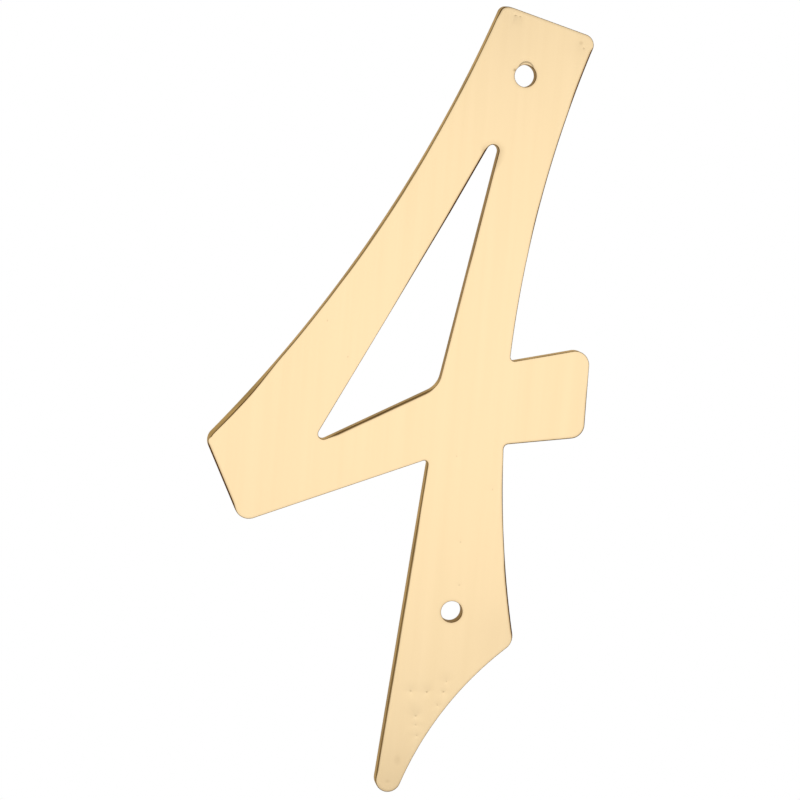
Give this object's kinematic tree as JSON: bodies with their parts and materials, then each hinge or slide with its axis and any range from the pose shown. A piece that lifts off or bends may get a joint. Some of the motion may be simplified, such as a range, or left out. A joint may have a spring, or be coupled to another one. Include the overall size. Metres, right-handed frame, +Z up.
{
  "type": "door number",
  "caption": "Flat brass door numeral in the shape of a figure four, with plain screw holes near the top and on the leg.",
  "frame": {"origin": "centre of the upper screw hole, in the plane of the plate's back", "axes": "+X to the figure's right as it is read, +Z up, -Y out of the door along the screws; the back lies on Y = 0 and the front faces -Y"},
  "size_m": [0.0744, 0.0024, 0.1522],
  "materials": {
    "brass": "brushed"
  },
  "bodies": {
    "root": {"numeral_four": "brass"}
  },
  "joints": []
}
